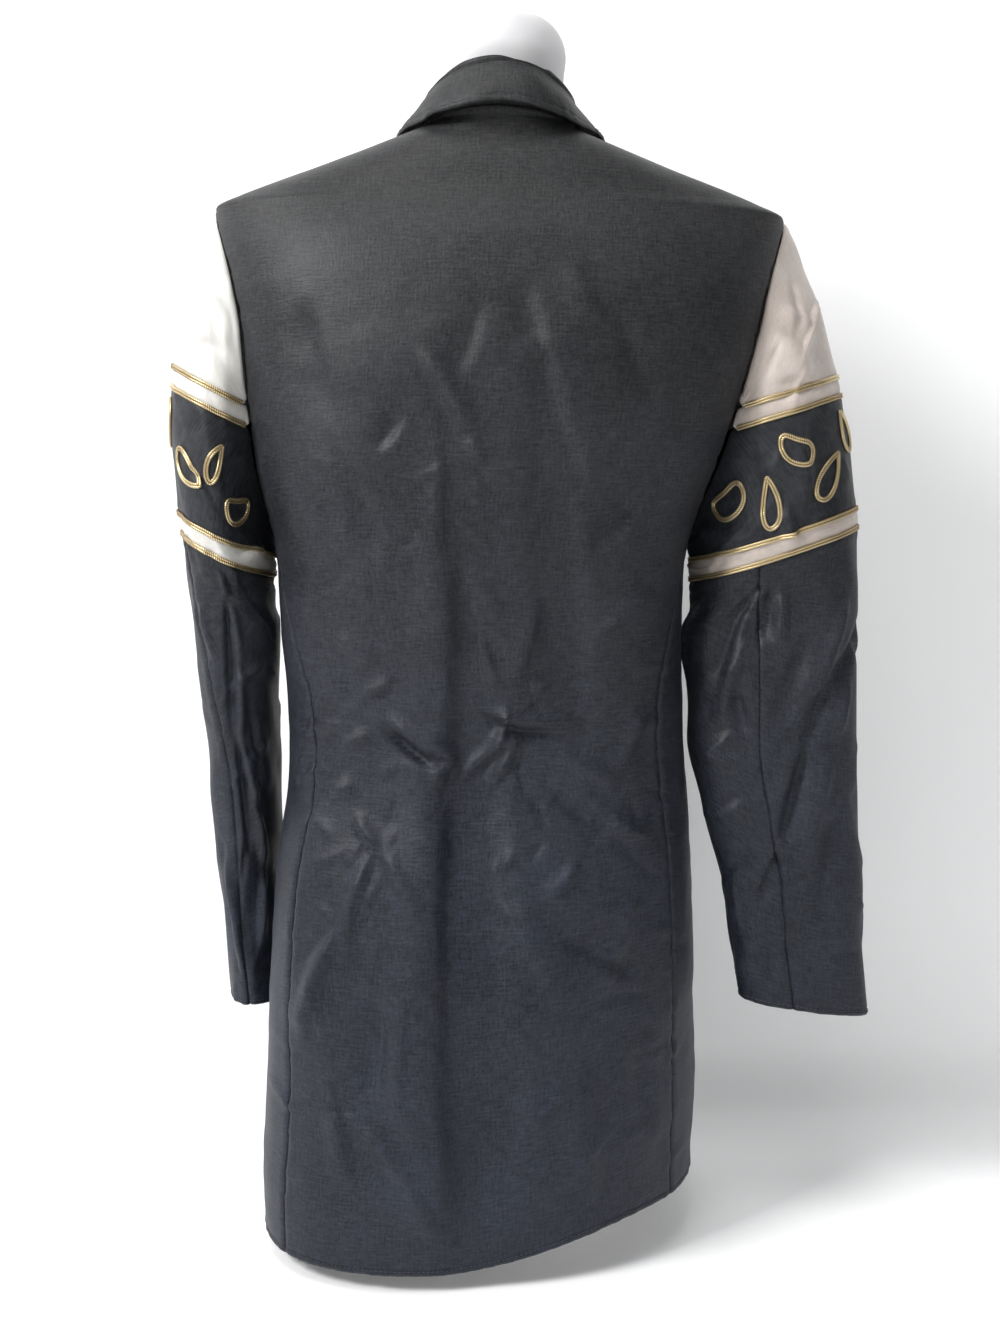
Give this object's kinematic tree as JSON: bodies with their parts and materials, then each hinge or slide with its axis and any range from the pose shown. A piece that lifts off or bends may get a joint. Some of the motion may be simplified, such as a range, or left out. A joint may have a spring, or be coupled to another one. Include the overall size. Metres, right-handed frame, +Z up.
{
  "type": "blazer on a dress form",
  "caption": "Long tailored jacket with padded shoulders, banded two-piece sleeves and notched collar, buttoned over a limbless dress form with a flat base.",
  "frame": {"origin": "middle of the dress form's flat base", "axes": "+Z up; the jacket's back faces +Y, its fronts face -Y, and the wearer's left is +X"},
  "size_m": [0.5472, 0.2775, 0.944],
  "materials": {
    "black_linen": "plain-woven matt linen, slightly slubby",
    "white_cotton": "smooth cotton with a faint sheen",
    "gold_cord": "twisted metallic cord",
    "form_shell": "smooth off-white",
    "black_button": "polished"
  },
  "bodies": {
    "root": {"back": "black_linen", "band_l": "black_linen", "band_r": "black_linen", "button_1": "black_button", "button_2": "black_button", "button_3": "black_button", "collar": "black_linen", "cord_1_l": "gold_cord", "cord_1_r": "gold_cord", "cord_2_l": "gold_cord", "cord_2_r": "gold_cord", "cord_3_l": "gold_cord", "cord_3_r": "gold_cord", "cord_4_l": "gold_cord", "cord_4_r": "gold_cord", "dress_form": "form_shell", "front_l": "black_linen", "front_r": "black_linen", "lapel_l": "black_linen", "lapel_r": "black_linen", "loop_1_l": "gold_cord", "loop_1_r": "gold_cord", "loop_2_l": "gold_cord", "loop_2_r": "gold_cord", "loop_3_l": "gold_cord", "loop_3_r": "gold_cord", "loop_4_l": "gold_cord", "loop_4_r": "gold_cord", "loop_5_l": "gold_cord", "loop_5_r": "gold_cord", "loop_6_l": "gold_cord", "loop_6_r": "gold_cord", "loop_7_l": "gold_cord", "loop_7_r": "gold_cord", "side_back_l": "black_linen", "side_back_r": "black_linen", "sleeve_cap_l": "white_cotton", "sleeve_cap_r": "white_cotton", "stripe_lower_l": "white_cotton", "stripe_lower_r": "white_cotton", "stripe_upper_l": "white_cotton", "stripe_upper_r": "white_cotton", "topsleeve_l": "black_linen", "topsleeve_r": "black_linen", "undersleeve_l": "black_linen", "undersleeve_r": "black_linen"}
  },
  "joints": []
}
